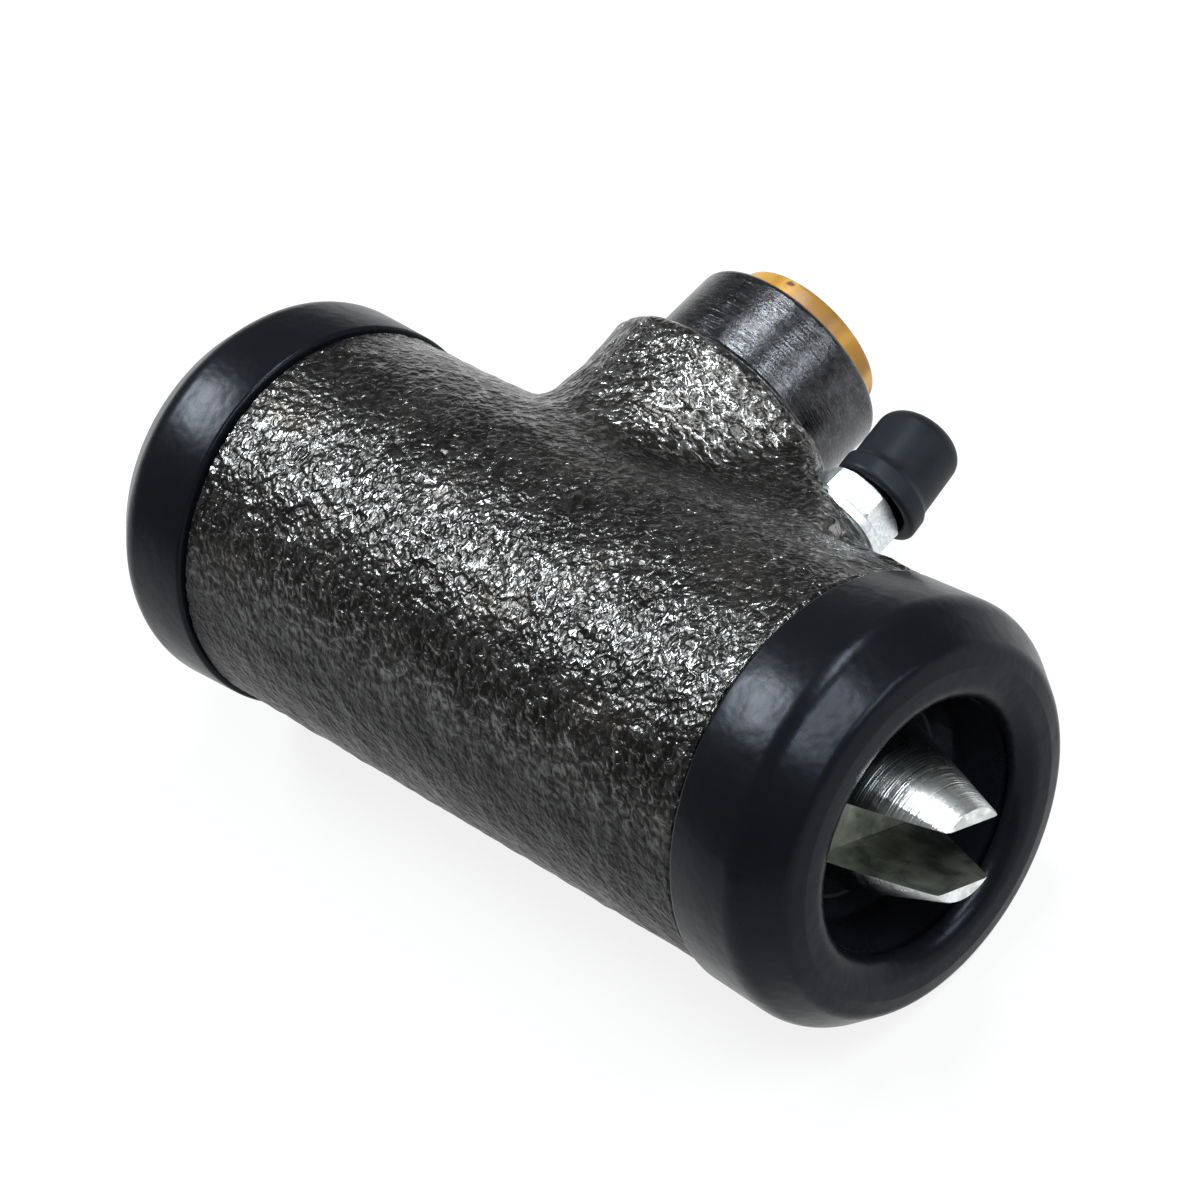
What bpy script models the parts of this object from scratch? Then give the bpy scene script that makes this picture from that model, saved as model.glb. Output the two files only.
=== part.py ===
"""Drum brake wheel cylinder: iron body, two slotted pistons, boots, bleed screw and port plug.

The origin is the centre of the machined shoulder, on the spigot's axis. X runs along the bore,
+Y points out of the spigot, away from the bore, and Z is up. Sizes are in metres.
"""
import math

import bmesh
import bpy
from mathutils import Matrix, Vector

# Bore and body tube
BORE_RADIUS = 0.0127
BODY_RADIUS = 0.01895
BODY_SPAN = 0.0647          # exposed length between the two boot lips
BODY_CENTRE = 0.00605       # how far the bore's middle lies from the spigot's axis
SHOULDER_HEIGHT = 0.029     # bore axis to the machined shoulder
NECK_LENGTH = 0.005
NECK_STEP = 0.0014          # how far the neck lies under the body's surface
GROOVE_DEPTH = 0.0010
GROOVE_WIDTH = 0.0022
BORE_CHAMFER = 0.0008
BODY_EDGE = 0.0006

# Spigot and its boss
BOSS_RADIUS = 0.0131
BOSS_FLARE = 0.0003
SHOULDER_ROUND = 0.0016
SPIGOT_RADIUS = 0.0107
SPIGOT_LENGTH = 0.0093
SPIGOT_ROUND = 0.0010
PORT_RADIUS = 0.0050
PORT_DEPTH = 0.0110
FEED_RADIUS = 0.0015

# Rib along the back of the casting
RIB_HEIGHT = 0.0203         # bore axis to the rib's flat
RIB_HALF_WIDTH = 0.0042
RIB_FOOT_WIDTH = 0.0085
RIB_START = -0.0160
RIB_END_ROUND = 0.0030

# Gusset from the boss down to the bleeder
GUSSET_DROP = 0.0016        # its top under the shoulder, where it meets the boss
GUSSET_SLOPE = 33.0
GUSSET_HALF_WIDTH = 0.0060
GUSSET_FLANK = 0.0030

# Bleeder
BLEEDER_X = 0.0192
SPOT_FACE_GAP = 0.0006      # room round the collar where its seat is cut flat
BLEEDER_BOSS_RADIUS = 0.0062
BLEEDER_BOSS_FOOT = 0.0105
BLEEDER_BOSS_HEIGHT = 0.0216
BLEED_THREAD_RADIUS = 0.0040
BLEED_SEAT_HEIGHT = 0.0165
COLLAR_RADIUS = 0.0047
COLLAR_HEIGHT = 0.0016
COLLAR_LIFT = 0.0008        # gap that stays under the collar when the screw is shut
HEX_FLATS = 0.0080
HEX_HEIGHT = 0.0021
HEX_TURN = 38.5
NIPPLE_RADIUS = 0.0017
NIPPLE_BARB = 0.0021
NIPPLE_LENGTH = 0.0070
CAP_RADIUS = 0.0042
CAP_BORE = 0.0033
CAP_LENGTH = 0.0086
CAP_FLANGE_RADIUS = 0.0048
CAP_FLANGE_HEIGHT = 0.0022
CAP_ROUND = 0.0017
CAP_TILT = 8.0
CAP_SHIFT = 0.0012
CAP_LIFT = 0.0009           # middle of the cap's mouth over the hexagon
BLEED_DRILL_RADIUS = 0.0010

# Port plug
PLUG_FLANGE_RADIUS = 0.0091
PLUG_FLANGE_HEIGHT = 0.0014
PLUG_ROUND = 0.0005
PLUG_STEM_LENGTH = 0.0070
PLUG_WALL = 0.0012

# Pistons
PISTON_CLEARANCE = 0.0003
PISTON_REACH = 0.0160       # tip of the prongs beyond the boot's lip
TIP_RADIUS = 0.0043
CONE_RISE = 0.325           # radius gained per length away from the tip
SLOT_WIDTH = 0.0058
SLOT_DEPTH = 0.0107
PISTON_GROOVE_RADIUS = 0.0078
PISTON_GROOVE_WIDTH = 0.0026
PISTON_GROOVE_PLACE = 0.0010  # groove's inner side beyond the boot's lip
SKIRT_LENGTH = 0.0110
SKIRT_CHAMFER = 0.0006
RIGHT_PISTON_TURN = -32.5
LEFT_PISTON_TURN = 90.0

# Boots
BOOT_PROUD = 0.0007         # how far the boot stands out from the body's surface
BOOT_ROLL = 0.0059
BOOT_WALL = 0.0016
BOOT_MOUTH_ROUND = 0.0016
BOOT_LENGTH = 0.0120
BOOT_WEB_WALL = 0.0012

# Cups, expanders and spring
CUP_LENGTH = 0.0050
CUP_BASE = 0.0020
CUP_LIP = 0.0026
EXPANDER_WALL = 0.0007
EXPANDER_DEPTH = 0.0019
SPRING_RADIUS = 0.0068
SPRING_WIRE = 0.00065
SPRING_TURNS = 7
SPRING_END_TURNS = 1.25

GAP = 0.0003                # clearance between pieces that touch
OVERCUT = 0.0020            # how far a cut runs past the surface it opens
ROUND = 48                  # segments of a large turned piece
FINE = 28                   # segments of a small one

body_end = BODY_SPAN / 2
neck_radius = BODY_RADIUS - NECK_STEP
boot_radius = BODY_RADIUS + BOOT_PROUD
mouth_radius = boot_radius - BOOT_ROLL - BOOT_MOUTH_ROUND - 0.0002


def rest_material(name, colour, roughness, metallic):
    material = bpy.data.materials.new(name)
    material.use_nodes = True
    shader = material.node_tree.nodes["Principled BSDF"]
    shader.inputs["Base Color"].default_value = (*colour, 1.0)
    shader.inputs["Roughness"].default_value = roughness
    shader.inputs["Metallic"].default_value = metallic
    return material


def object_from(mesh_data, name, material=None):
    """Turn a bmesh into an object with outward faces."""
    bmesh.ops.recalc_face_normals(mesh_data, faces=mesh_data.faces)
    mesh = bpy.data.meshes.new(name)
    mesh_data.to_mesh(mesh)
    mesh_data.free()
    thing = bpy.data.objects.new(name, mesh)
    bpy.context.scene.collection.objects.link(thing)
    if material:
        mesh.materials.append(material)
    return thing


def arc(centre, radius, start, end, steps):
    """Points along an arc, angles in degrees from the axial direction towards the radial one."""
    points = []
    for step in range(steps + 1):
        angle = math.radians(start + (end - start) * step / steps)
        points.append((centre[0] + radius * math.cos(angle), centre[1] + radius * math.sin(angle)))
    return points


def turned(name, profile, segments, material=None, closed=False):
    """Revolve (axial, radius) points about X. A closed profile makes a ring."""
    build = bmesh.new()
    rings = []
    for axial, radius in profile:
        if radius < 1e-7:
            rings.append([build.verts.new((axial, 0, 0))])
            continue
        ring = []
        for step in range(segments):
            angle = 2 * math.pi * step / segments
            ring.append(build.verts.new((axial, radius * math.cos(angle), radius * math.sin(angle))))
        rings.append(ring)
    pairs = list(zip(rings, rings[1:]))
    if closed:
        pairs.append((rings[-1], rings[0]))
    for first, second in pairs:
        for step in range(segments):
            after = (step + 1) % segments
            if len(first) == 1:
                build.faces.new((first[0], second[step], second[after]))
            elif len(second) == 1:
                build.faces.new((first[step], second[0], first[after]))
            else:
                build.faces.new((first[step], second[step], second[after], first[after]))
    return object_from(build, name, material)


def lofted(name, sections):
    """Join equal rings of points with quads and cap both ends."""
    build = bmesh.new()
    rings = [[build.verts.new(point) for point in section] for section in sections]
    for first, second in zip(rings, rings[1:]):
        for step in range(len(first)):
            after = (step + 1) % len(first)
            build.faces.new((first[step], second[step], second[after], first[after]))
    build.faces.new(rings[0])
    build.faces.new(rings[-1])
    return object_from(build, name)


def combine(target, other, operation):
    """Apply a Boolean with another object and remove that object."""
    other.hide_render = True
    other.display_type = "WIRE"
    cut = target.modifiers.new(operation.lower(), "BOOLEAN")
    cut.operation = operation
    cut.solver = "EXACT"
    cut.object = other
    bpy.context.view_layer.update()
    evaluated = target.evaluated_get(bpy.context.evaluated_depsgraph_get())
    mesh = bpy.data.meshes.new_from_object(evaluated)
    target.modifiers.clear()
    old = target.data
    target.data = mesh
    bpy.data.meshes.remove(old)
    bpy.data.objects.remove(other)


def transform(thing, matrix):
    """Move the mesh itself, and keep its faces outward when the matrix mirrors it."""
    thing.data.transform(matrix)
    if matrix.determinant() < 0:
        thing.data.flip_normals()


def along_spigot(x, height):
    """Matrix that turns a piece built along X to point along +Y, its zero at a bore height."""
    return Matrix.Translation((x, height - SHOULDER_HEIGHT, 0)) @ Matrix.Rotation(math.pi / 2, 4, "Z")


def along_bore(side):
    """Matrix from a piece that points along +X from the bore's middle to its place on one side."""
    place = Matrix.Translation((BODY_CENTRE, -SHOULDER_HEIGHT, 0))
    return place if side > 0 else place @ Matrix.Rotation(math.pi, 4, "Z")


def finish(thing, angle=32):
    thing.data.shade_smooth()
    thing.data.set_sharp_from_angle(angle=math.radians(angle))


def tube_profile():
    """Outer skin of the body tube from its middle out to the end of one neck."""
    groove_start = NECK_LENGTH / 2 - GROOVE_WIDTH / 2
    neck = [
        (body_end - BODY_EDGE, BODY_RADIUS),
        (body_end, BODY_RADIUS - BODY_EDGE),
        (body_end, neck_radius),
        (body_end + groove_start, neck_radius),
        (body_end + groove_start, neck_radius - GROOVE_DEPTH),
        (body_end + groove_start + GROOVE_WIDTH, neck_radius - GROOVE_DEPTH),
        (body_end + groove_start + GROOVE_WIDTH, neck_radius),
        (body_end + NECK_LENGTH - BODY_EDGE, neck_radius),
        (body_end + NECK_LENGTH, neck_radius - BODY_EDGE),
    ]
    return neck


def ellipse(x, height, half_x, half_z, count):
    points = []
    for step in range(count):
        angle = 2 * math.pi * step / count
        points.append((x + half_x * math.cos(angle), height - SHOULDER_HEIGHT, half_z * math.sin(angle)))
    return points


def boss_sections():
    """The boss grows out of the tube as an ellipse and ends round at the shoulder."""
    foot_height = BODY_RADIUS * 0.12
    top = SHOULDER_HEIGHT - SHOULDER_ROUND
    sections = []
    steps = 7
    for step in range(steps + 1):
        share = step / steps
        height = foot_height + (top * 0.74 - foot_height) * share
        ease = (1 - share) ** 1.7
        half_x = BOSS_RADIUS + 0.0010 * math.sin(math.pi * share) + 0.0004 * ease
        half_z = BOSS_RADIUS + (BODY_RADIUS * 0.985 - BOSS_RADIUS) * ease
        sections.append(ellipse(0.0036 * ease, height, half_x, half_z, ROUND))
    sections.append(ellipse(0, top, BOSS_RADIUS + BOSS_FLARE, BOSS_RADIUS + BOSS_FLARE, ROUND))
    for angle in (45, 90):
        turn = math.radians(angle)
        radius = BOSS_RADIUS + BOSS_FLARE - SHOULDER_ROUND * (1 - math.cos(turn))
        sections.append(ellipse(0, top + SHOULDER_ROUND * math.sin(turn), radius, radius, ROUND))
    return sections


def rib_sections():
    """A low flat rib along the back, with a sloping left end, dying into the tube."""
    low = BODY_RADIUS * 0.86
    end = body_end + BODY_CENTRE - BODY_EDGE
    sections = []
    for x, rise in ((RIB_START, 0.0), (RIB_START + RIB_END_ROUND, 1.0), (end, 1.0)):
        top = low + (RIB_HEIGHT - low) * (0.35 + 0.65 * rise)
        half = RIB_HALF_WIDTH * (0.8 + 0.2 * rise)
        outline = [
            (-RIB_FOOT_WIDTH, low), (-half, top), (-half * 0.4, top),
            (half * 0.4, top), (half, top), (RIB_FOOT_WIDTH, low),
        ]
        sections.append([(x, height - SHOULDER_HEIGHT, z) for z, height in outline])
    return sections


def gusset_sections():
    """A sloping block from inside the boss to the far side of the bleeder's seat."""
    low = BODY_RADIUS * 0.7
    slope = math.tan(math.radians(GUSSET_SLOPE))
    start = BOSS_RADIUS * 0.6
    end = BLEEDER_X + BLEEDER_BOSS_RADIUS
    sections = []
    for x in (start, end):
        top = SHOULDER_HEIGHT - GUSSET_DROP - (x - BOSS_RADIUS) * slope
        top = min(top, SHOULDER_HEIGHT - SHOULDER_ROUND)
        foot = GUSSET_HALF_WIDTH + GUSSET_FLANK
        outline = [(-foot, low), (-GUSSET_HALF_WIDTH, top), (GUSSET_HALF_WIDTH, top), (foot, low)]
        sections.append([(x, height - SHOULDER_HEIGHT, z) for z, height in outline])
    return sections


def make_body(material):
    end_profile = tube_profile()
    left = [(-axial, radius) for axial, radius in reversed(end_profile)]
    skin = [(left[0][0], 0.0)] + left + end_profile + [(end_profile[-1][0], 0.0)]
    body = turned("cylinder_body", skin, ROUND, material)
    transform(body, along_bore(1))

    combine(body, lofted("boss", boss_sections()), "UNION")
    combine(body, lofted("rib", rib_sections()), "UNION")

    foot = BODY_RADIUS * 0.75
    bleeder_boss = turned("bleeder_boss", [
        (foot, 0.0), (foot, BLEEDER_BOSS_FOOT), (BODY_RADIUS * 0.93, BLEEDER_BOSS_RADIUS * 1.3),
        (RIB_HEIGHT, BLEEDER_BOSS_RADIUS * 1.04), (BLEEDER_BOSS_HEIGHT - BODY_EDGE, BLEEDER_BOSS_RADIUS),
        (BLEEDER_BOSS_HEIGHT, BLEEDER_BOSS_RADIUS - BODY_EDGE), (BLEEDER_BOSS_HEIGHT, 0.0),
    ], FINE)
    transform(bleeder_boss, along_spigot(BLEEDER_X, 0))
    combine(body, bleeder_boss, "UNION")
    combine(body, lofted("gusset", gusset_sections()), "UNION")
    seat_radius = COLLAR_RADIUS + SPOT_FACE_GAP
    spot_face = turned("spot_face", [
        (BLEEDER_BOSS_HEIGHT, 0.0), (BLEEDER_BOSS_HEIGHT, seat_radius),
        (SHOULDER_HEIGHT, seat_radius), (SHOULDER_HEIGHT, 0.0),
    ], FINE)
    transform(spot_face, along_spigot(BLEEDER_X, 0))
    combine(body, spot_face, "DIFFERENCE")

    spigot_end = SHOULDER_HEIGHT + SPIGOT_LENGTH
    corner = (spigot_end - SPIGOT_ROUND, SPIGOT_RADIUS - SPIGOT_ROUND)
    spigot = turned("spigot", [
        (BODY_RADIUS, 0.0), (BODY_RADIUS, SPIGOT_RADIUS),
        *reversed(arc(corner, SPIGOT_ROUND, 0, 90, 4)), (spigot_end, 0.0),
    ], ROUND)
    transform(spigot, along_spigot(0, 0))
    combine(body, spigot, "UNION")

    bore_end = body_end + NECK_LENGTH
    bore = turned("bore", [
        (-bore_end - OVERCUT, 0.0), (-bore_end - OVERCUT, BORE_RADIUS + BORE_CHAMFER + OVERCUT),
        (-bore_end + BORE_CHAMFER, BORE_RADIUS), (bore_end - BORE_CHAMFER, BORE_RADIUS),
        (bore_end + OVERCUT, BORE_RADIUS + BORE_CHAMFER + OVERCUT), (bore_end + OVERCUT, 0.0),
    ], ROUND)
    transform(bore, along_bore(1))
    combine(body, bore, "DIFFERENCE")

    port_floor = spigot_end - PORT_DEPTH
    port = turned("port", [
        (BORE_RADIUS * 0.8, 0.0), (BORE_RADIUS * 0.8, FEED_RADIUS), (port_floor - 0.0012, FEED_RADIUS),
        (port_floor, PORT_RADIUS), (spigot_end - 0.0008, PORT_RADIUS),
        (spigot_end + OVERCUT, PORT_RADIUS + 0.0008 + OVERCUT), (spigot_end + OVERCUT, 0.0),
    ], FINE)
    transform(port, along_spigot(0, 0))
    combine(body, port, "DIFFERENCE")

    bleed_hole = turned("bleed_hole", [
        (BORE_RADIUS * 0.8, 0.0), (BORE_RADIUS * 0.8, BLEED_DRILL_RADIUS),
        (BLEED_SEAT_HEIGHT - BLEED_THREAD_RADIUS + BLEED_DRILL_RADIUS, BLEED_DRILL_RADIUS),
        (BLEED_SEAT_HEIGHT, BLEED_THREAD_RADIUS), (BLEEDER_BOSS_HEIGHT + OVERCUT, BLEED_THREAD_RADIUS),
        (BLEEDER_BOSS_HEIGHT + OVERCUT, 0.0),
    ], FINE)
    transform(bleed_hole, along_spigot(BLEEDER_X, 0))
    combine(body, bleed_hole, "DIFFERENCE")
    finish(body)
    return body


def cone_radius(from_tip):
    return TIP_RADIUS + CONE_RISE * from_tip


def make_piston(name, side, turn, material):
    """Skirt, boot groove and cone turned in one, then the slot milled across the cone."""
    tip = body_end + PISTON_REACH
    groove_in = body_end + PISTON_GROOVE_PLACE
    groove_out = groove_in + PISTON_GROOVE_WIDTH
    skirt_end = groove_in - 0.0012
    skirt_radius = BORE_RADIUS - PISTON_CLEARANCE
    back = skirt_end - SKIRT_LENGTH
    profile = [
        (back, 0.0), (back, skirt_radius - SKIRT_CHAMFER), (back + SKIRT_CHAMFER, skirt_radius),
        (skirt_end - SKIRT_CHAMFER, skirt_radius), (skirt_end, skirt_radius - SKIRT_CHAMFER),
        (groove_in, PISTON_GROOVE_RADIUS + 0.0016), (groove_in, PISTON_GROOVE_RADIUS),
        (groove_out, PISTON_GROOVE_RADIUS), (groove_out, cone_radius(tip - groove_out) - 0.0002),
        (groove_out + 0.0002, cone_radius(tip - groove_out)), (tip - 0.0002, cone_radius(0.0002)),
        (tip, TIP_RADIUS - 0.0001), (tip, 0.0),
    ]
    piston = turned(name, profile, ROUND, material)
    build = bmesh.new()
    bmesh.ops.create_cube(build, size=1.0)
    length = SLOT_DEPTH + OVERCUT
    bmesh.ops.scale(build, vec=(length, BORE_RADIUS * 3, SLOT_WIDTH), verts=build.verts)
    bmesh.ops.translate(build, vec=(tip - SLOT_DEPTH + length / 2, 0, 0), verts=build.verts)
    combine(piston, object_from(build, "slot"), "DIFFERENCE")
    transform(piston, Matrix.Rotation(math.radians(turn), 4, "X"))
    finish(piston)
    place_on(piston, along_bore(side))
    return piston


def place_on(thing, matrix):
    """Give a piece its place by location and rotation, so its origin lies on its axis."""
    thing.matrix_world = matrix


def make_boot(name, side, material):
    """Dust boot: a bead in the neck's groove, a rolled shoulder, a mouth and a web to the piston."""
    inner_radius = neck_radius + GAP
    groove_start = NECK_LENGTH / 2 - GROOVE_WIDTH / 2
    bead_radius = neck_radius - GROOVE_DEPTH + GAP
    roll_centre = (BOOT_LENGTH - BOOT_ROLL, boot_radius - BOOT_ROLL)
    mouth_top = BOOT_LENGTH - BOOT_MOUTH_ROUND
    seat_in = PISTON_GROOVE_PLACE + GAP
    seat_out = PISTON_GROOVE_PLACE + PISTON_GROOVE_WIDTH - GAP
    seat_radius = PISTON_GROOVE_RADIUS + GAP
    outer = [(GAP, inner_radius), (GAP, boot_radius - 0.0004), (GAP + 0.0004, boot_radius)]
    outer += list(reversed(arc(roll_centre, BOOT_ROLL, 12, 90, 6)))
    mouth_centre = (mouth_top, mouth_radius + BOOT_MOUTH_ROUND)
    outer += list(reversed(arc(mouth_centre, BOOT_MOUTH_ROUND, 270, 350, 3)))
    fold = NECK_LENGTH + 0.0022
    outer += [(fold, mouth_radius - 0.0003), (seat_out + 0.0016, seat_radius + 0.0026)]
    outer += [(seat_out, seat_radius + 0.0012), (seat_out, seat_radius), (seat_in, seat_radius)]
    outer += [(seat_in, seat_radius + 0.0020), (seat_out + 0.0010, seat_radius + 0.0026 + BOOT_WEB_WALL)]
    hidden_radius = mouth_radius + BOOT_WEB_WALL
    outer += [(fold + BOOT_WEB_WALL * 0.5, hidden_radius), (mouth_top - 0.0006, hidden_radius + 0.0002)]
    outer += arc(roll_centre, BOOT_ROLL - BOOT_WALL, 8, 86, 4)
    outer += [(NECK_LENGTH + 0.0004, inner_radius)]
    outer += [(groove_start + GROOVE_WIDTH - GAP, inner_radius)]
    outer += [(groove_start + GROOVE_WIDTH - GAP, bead_radius), (groove_start + GAP, bead_radius)]
    outer += [(groove_start + GAP, inner_radius)]
    boot = turned(name, [(body_end + axial, radius) for axial, radius in outer], ROUND, material, closed=True)
    finish(boot, 40)
    place_on(boot, along_bore(side))
    return boot


def piston_back():
    return body_end + PISTON_GROOVE_PLACE - 0.0012 - SKIRT_LENGTH


def make_cup(name, side, material):
    """Pressure cup, its lip towards the fluid."""
    radius = BORE_RADIUS - PISTON_CLEARANCE
    front = piston_back() - GAP
    lip = front - CUP_LENGTH
    profile = [
        (front, 0.0), (front, radius - 0.0007), (front - 0.0007, radius - 0.0002), (lip + 0.0006, radius),
        (lip, radius - 0.0004), (lip, radius - CUP_LIP + 0.0008), (front - CUP_BASE, radius - CUP_LIP),
        (front - CUP_BASE, 0.0),
    ]
    cup = turned(name, profile, ROUND, material)
    finish(cup)
    place_on(cup, along_bore(side))
    return cup


def expander_floor():
    return piston_back() - GAP - CUP_BASE - GAP


def make_expander(name, side, material):
    """Dished steel expander that spreads the cup's lip and seats the spring."""
    floor = expander_floor()
    radius = BORE_RADIUS - PISTON_CLEARANCE - CUP_LIP - GAP
    profile = [
        (floor, 0.0022), (floor, radius - 0.0006), (floor - 0.0006, radius),
        (floor - EXPANDER_DEPTH, radius + 0.0004), (floor - EXPANDER_DEPTH, radius + 0.0004 - EXPANDER_WALL),
        (floor - EXPANDER_WALL - 0.0004, radius - EXPANDER_WALL),
        (floor - EXPANDER_WALL, radius - EXPANDER_WALL - 0.0004), (floor - EXPANDER_WALL, 0.0022),
    ]
    expander = turned(name, profile, FINE, material, closed=True)
    finish(expander)
    place_on(expander, along_bore(side))
    return expander


def make_spring(material):
    """Coil spring with closed end turns, between the two expanders."""
    reach = expander_floor() - EXPANDER_WALL - GAP - SPRING_WIRE
    total = SPRING_TURNS + 2 * SPRING_END_TURNS
    per_turn = 14
    sides = 5
    count = int(total * per_turn)
    closed_pitch = SPRING_WIRE * 2 + 0.0001
    end_travel = closed_pitch * SPRING_END_TURNS
    build = bmesh.new()
    rings = []
    for step in range(count + 1):
        turn = total * step / count
        if turn < SPRING_END_TURNS:
            x = closed_pitch * turn
        elif turn > total - SPRING_END_TURNS:
            x = 2 * reach - closed_pitch * (total - turn)
        else:
            share = (turn - SPRING_END_TURNS) / SPRING_TURNS
            x = end_travel + (2 * reach - 2 * end_travel) * share
        angle = 2 * math.pi * turn
        outward = Vector((0, math.cos(angle), math.sin(angle)))
        centre = Vector((x - reach, 0, 0)) + outward * SPRING_RADIUS
        ring = []
        for side in range(sides):
            around = 2 * math.pi * side / sides
            offset = outward * math.cos(around) + Vector((1, 0, 0)) * math.sin(around)
            ring.append(build.verts.new(centre + offset * SPRING_WIRE))
        rings.append(ring)
    for first, second in zip(rings, rings[1:]):
        for side in range(sides):
            after = (side + 1) % sides
            build.faces.new((first[side], second[side], second[after], first[after]))
    build.faces.new(rings[0])
    build.faces.new(rings[-1])
    spring = object_from(build, "return_spring", material)
    finish(spring, 60)
    place_on(spring, along_bore(1))
    return spring


def make_bleed_screw(material):
    """Conical seat, threaded shank, round collar, hexagon and barbed nipple with its drilling."""
    shank = BLEED_THREAD_RADIUS - GAP
    seat = BLEED_SEAT_HEIGHT - BLEED_THREAD_RADIUS + BLEED_DRILL_RADIUS + GAP * 2
    neck = BLEEDER_BOSS_HEIGHT - 0.0008
    collar = BLEEDER_BOSS_HEIGHT + COLLAR_LIFT
    hex_low = collar + COLLAR_HEIGHT
    hex_top = hex_low + HEX_HEIGHT
    nipple_top = hex_top + NIPPLE_LENGTH
    screw = turned("bleed_screw", [
        (seat, 0.0), (seat, BLEED_DRILL_RADIUS * 0.8), (BLEED_SEAT_HEIGHT + GAP * 2, shank),
        (neck, shank), (neck + 0.0006, shank - 0.0007), (collar, shank - 0.0007),
        (collar + 0.0003, COLLAR_RADIUS - 0.0003), (collar + 0.0006, COLLAR_RADIUS),
        (hex_low - 0.0003, COLLAR_RADIUS - 0.0001), (hex_low, COLLAR_RADIUS - 0.0005),
        (hex_low + 0.0008, NIPPLE_RADIUS), (nipple_top - 0.0026, NIPPLE_RADIUS),
        (nipple_top - 0.0024, NIPPLE_BARB), (nipple_top - 0.0014, NIPPLE_BARB),
        (nipple_top, NIPPLE_RADIUS * 0.75), (nipple_top, 0.0),
    ], FINE, material)
    corner = HEX_FLATS / math.sqrt(3)
    chamfer = corner - HEX_FLATS / 2
    angles = [math.radians(HEX_TURN + 60 * step) for step in range(6)]
    sections = []
    for height, radius in ((hex_low - 0.0002, corner), (hex_top, corner)):
        sections.append([(height, radius * math.sin(angle), -radius * math.cos(angle)) for angle in angles])
    hexagon = lofted("hexagon", sections)
    rounding = turned("rounding", [
        (hex_low - 0.0004, 0.0), (hex_low - 0.0004, corner - chamfer * 0.7),
        (hex_low + chamfer * 0.6, corner + 0.0001), (hex_top - chamfer * 0.6, corner + 0.0001),
        (hex_top + 0.0001, corner - chamfer * 1.1), (hex_top + 0.0001, 0.0),
    ], FINE)
    combine(hexagon, rounding, "INTERSECT")
    combine(screw, hexagon, "UNION")
    drilling = turned("drilling", [
        (hex_low, 0.0), (hex_low, 0.0007), (nipple_top + 0.001, 0.0007), (nipple_top + 0.001, 0.0),
    ], 16)
    combine(screw, drilling, "DIFFERENCE")
    finish(screw, 28)
    transform(screw, Matrix.Rotation(math.pi / 2, 4, "Z"))
    place_on(screw, Matrix.Translation((BLEEDER_X, -SHOULDER_HEIGHT, 0)))
    return screw


def cap_axis():
    turn = math.radians(CAP_TILT)
    return Vector((-math.sin(turn), math.cos(turn), 0))


def make_cap(material):
    """Rubber cap with a rolled flange at its mouth, leaning a little on the nipple."""
    mouth = BLEEDER_BOSS_HEIGHT + COLLAR_LIFT + COLLAR_HEIGHT + HEX_HEIGHT + CAP_LIFT
    profile = [
        (CAP_LENGTH, 0.0), *arc((CAP_LENGTH - CAP_ROUND, CAP_RADIUS - CAP_ROUND), CAP_ROUND, 0, 90, 4),
        (CAP_FLANGE_HEIGHT + 0.0004, CAP_RADIUS + 0.0001), (CAP_FLANGE_HEIGHT, CAP_FLANGE_RADIUS - 0.0003),
        (CAP_FLANGE_HEIGHT - 0.0004, CAP_FLANGE_RADIUS), (0.0005, CAP_FLANGE_RADIUS),
        (0.0, CAP_FLANGE_RADIUS - 0.0005), (0.0, CAP_BORE + 0.0002), (0.0005, CAP_BORE),
        (CAP_LENGTH - CAP_ROUND, CAP_BORE), (CAP_LENGTH - CAP_ROUND + 0.0004, CAP_BORE - 0.0005),
        (CAP_LENGTH - CAP_ROUND + 0.0004, 0.0),
    ]
    cap = turned("bleeder_cap", profile, FINE, material)
    finish(cap, 40)
    lean = Matrix.Rotation(math.radians(90 + CAP_TILT), 4, "Z")
    place = Matrix.Translation((BLEEDER_X + CAP_SHIFT, mouth - SHOULDER_HEIGHT, 0))
    place_on(cap, place @ lean)
    return cap


def make_plug(material):
    """Transit plug: a hollow stem in the port and a wide flange over the spigot's end."""
    low = SHOULDER_HEIGHT + SPIGOT_LENGTH + GAP
    high = low + PLUG_FLANGE_HEIGHT
    stem = PORT_RADIUS - GAP
    bottom = low - PLUG_STEM_LENGTH
    profile = [
        (bottom, 0.0), (bottom, stem - 0.0006), (bottom + 0.0012, stem), (low, stem),
        (low, PLUG_FLANGE_RADIUS - 0.0003), (low + 0.0003, PLUG_FLANGE_RADIUS),
        *reversed(arc((high - PLUG_ROUND, PLUG_FLANGE_RADIUS - PLUG_ROUND), PLUG_ROUND, 0, 90, 4)),
        (high, stem - PLUG_WALL + 0.0003), (high - 0.0004, stem - PLUG_WALL),
        (bottom + PLUG_WALL, stem - PLUG_WALL - 0.0002), (bottom + PLUG_WALL, 0.0),
    ]
    plug = turned("port_plug", profile, FINE, material)
    finish(plug, 40)
    place_on(plug, along_spigot(0, 0))
    return plug


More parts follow.
